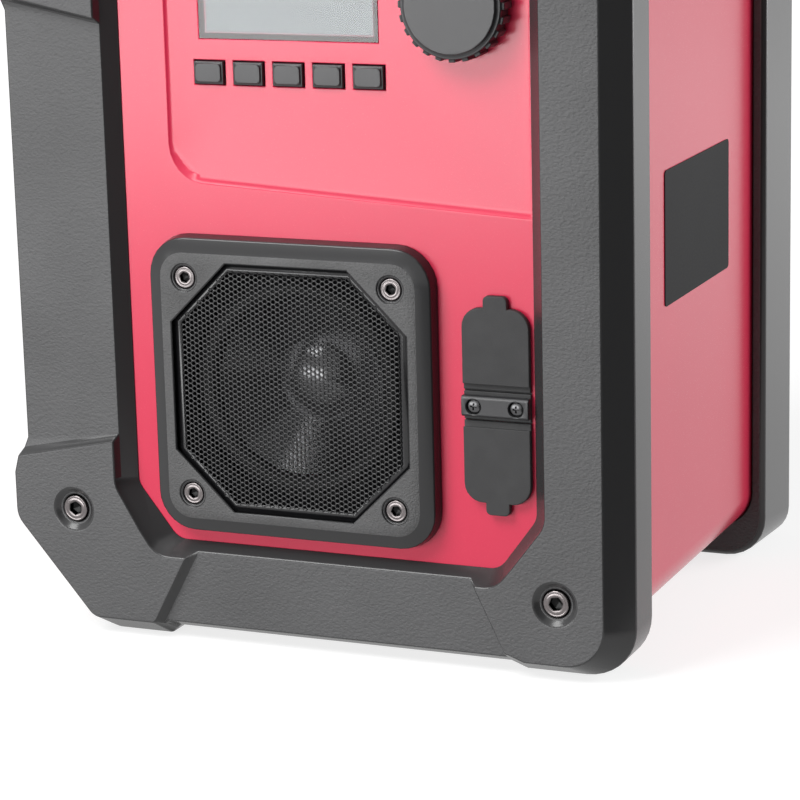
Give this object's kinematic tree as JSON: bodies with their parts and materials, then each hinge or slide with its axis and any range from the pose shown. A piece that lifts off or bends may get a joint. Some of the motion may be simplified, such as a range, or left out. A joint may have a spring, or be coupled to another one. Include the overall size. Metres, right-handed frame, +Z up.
{
  "type": "jobsite radio",
  "caption": "Rugged portable radio: red housing between dark bumper frames, square-bezelled loudspeaker, rubber flap over the inputs, folding handle and telescopic aerial.",
  "frame": {"origin": "on the ground, under the middle of the base", "axes": "+Z up, the speaker side faces -Y, +X to the right as seen from the front"},
  "size_m": [0.2106, 0.182, 0.265],
  "materials": {
    "frame_plastic": "grained",
    "red_plastic": "satin",
    "soft_grip": "grained",
    "screw_steel": "burnished",
    "aerial_chrome": "polished",
    "cover_rubber": "matte",
    "seal_rubber": "matte",
    "grille_steel": "satin",
    "black_plastic": "satin",
    "black_screw": "satin",
    "cone_paper": "matte",
    "cap_plastic": "gloss",
    "spider_cloth": "woven",
    "grille_cloth": "felted",
    "ferrite": "matte",
    "copper_winding": "enamelled",
    "window_clear": "clear",
    "lcd_glass": "satin",
    "board_green": "satin",
    "sink_aluminium": "brushed",
    "contact_brass": "bright",
    "label_film": "satin"
  },
  "bodies": {
    "radio": {"front_frame": "frame_plastic", "rear_frame": "frame_plastic", "main_housing": "red_plastic", "front_panel": "red_plastic", "rear_panel": "frame_plastic", "front_seal": "seal_rubber", "rear_seal": "seal_rubber", "front_frame_screws": "screw_steel", "rear_frame_screws": "screw_steel", "speaker_bezel": "frame_plastic", "speaker_grille": "grille_steel", "grille_felt": "grille_cloth", "bezel_screws": "screw_steel", "speaker_gasket": "seal_rubber", "driver_basket": "black_plastic", "driver_surround": "seal_rubber", "driver_spider": "spider_cloth", "driver_top_plate": "screw_steel", "driver_magnet": "ferrite", "driver_yoke": "screw_steel", "driver_screws": "screw_steel", "port_strap": "cover_rubber", "clamp_strip": "black_plastic", "clamp_screws": "black_screw", "aux_socket": "black_plastic", "dc_socket": "black_plastic", "display_window": "window_clear", "lcd_module": "lcd_glass", "encoder_body": "screw_steel", "key_switches": "screw_steel", "control_board": "board_green", "board_screws": "screw_steel", "main_board": "board_green", "heat_sink": "sink_aluminium", "battery_dock": "black_plastic", "battery_contacts": "contact_brass", "door_hinge_pin": "screw_steel", "door_seal": "seal_rubber", "handle_bolts": "screw_steel", "antenna_bracket": "black_plastic", "antenna_pin": "screw_steel", "rating_label": "label_film"},
    "cone": {"driver_cone": "cone_paper", "dust_cap": "cap_plastic", "voice_coil": "copper_winding"},
    "upper_flap": {"aux_flap": "cover_rubber"},
    "lower_flap": {"dc_flap": "cover_rubber"},
    "knob": {"volume_knob": "black_plastic", "encoder_shaft": "screw_steel"},
    "power": {"power_key": "black_plastic"},
    "mode": {"mode_key": "black_plastic"},
    "down": {"down_key": "black_plastic"},
    "up": {"up_key": "black_plastic"},
    "preset": {"preset_key": "black_plastic"},
    "door": {"battery_door": "frame_plastic"},
    "handle": {"carry_handle": "black_plastic", "handle_grip": "soft_grip"},
    "aerial": {"antenna_arm": "aerial_chrome"},
    "aerial_middle": {"antenna_stage": "aerial_chrome"},
    "aerial_end": {"antenna_tip": "aerial_chrome"}
  },
  "joints": [
    {"name": "cone_excursion", "type": "slide", "parent": "radio", "child": "cone", "axis": [0, -1, 0], "range_m": [-0.0015, 0.0015], "stiffness_N_per_m": 500},
    {"name": "aux_flap_hinge", "type": "hinge", "parent": "radio", "child": "upper_flap", "pos_m": [0.06165, -0.08425, 0.0896], "axis": [1, 0, 0], "range_deg": [0, 95], "stiffness_Nm_per_rad": 0.004},
    {"name": "dc_flap_hinge", "type": "hinge", "parent": "radio", "child": "lower_flap", "pos_m": [0.06165, -0.08425, 0.079], "axis": [-1, 0, 0], "range_deg": [0, 95], "stiffness_Nm_per_rad": 0.004},
    {"name": "volume_turn", "type": "hinge", "parent": "radio", "child": "knob", "pos_m": [0.05075, -0.0835, 0.2063], "axis": [0, -1, 0], "continuous": true},
    {"name": "power_press", "type": "slide", "parent": "radio", "child": "power", "axis": [0, 1, 0], "range_m": [0, 0.0008], "stiffness_N_per_m": 300},
    {"name": "mode_press", "type": "slide", "parent": "radio", "child": "mode", "axis": [0, 1, 0], "range_m": [0, 0.0008], "stiffness_N_per_m": 300},
    {"name": "down_press", "type": "slide", "parent": "radio", "child": "down", "axis": [0, 1, 0], "range_m": [0, 0.0008], "stiffness_N_per_m": 300},
    {"name": "up_press", "type": "slide", "parent": "radio", "child": "up", "axis": [0, 1, 0], "range_m": [0, 0.0008], "stiffness_N_per_m": 300},
    {"name": "preset_press", "type": "slide", "parent": "radio", "child": "preset", "axis": [0, 1, 0], "range_m": [0, 0.0008], "stiffness_N_per_m": 300},
    {"name": "door_hinge", "type": "hinge", "parent": "radio", "child": "door", "pos_m": [0, 0.0864, 0.0505], "axis": [-1, 0, 0], "range_deg": [0, 110]},
    {"name": "handle_fold", "type": "hinge", "parent": "radio", "child": "handle", "pos_m": [0, -0.0205, 0.256], "axis": [1, 0, 0], "range_deg": [0, 100]},
    {"name": "aerial_tilt", "type": "hinge", "parent": "radio", "child": "aerial", "pos_m": [-0.0693, 0.0502, 0.2567], "axis": [0, -1, 0], "range_deg": [0, 90]},
    {"name": "aerial_middle_pull", "type": "slide", "parent": "aerial", "child": "aerial_middle", "axis": [1, 0, 0], "range_m": [0, 0.105]},
    {"name": "aerial_end_pull", "type": "slide", "parent": "aerial_middle", "child": "aerial_end", "axis": [1, 0, 0], "range_m": [0, 0.105]}
  ]
}
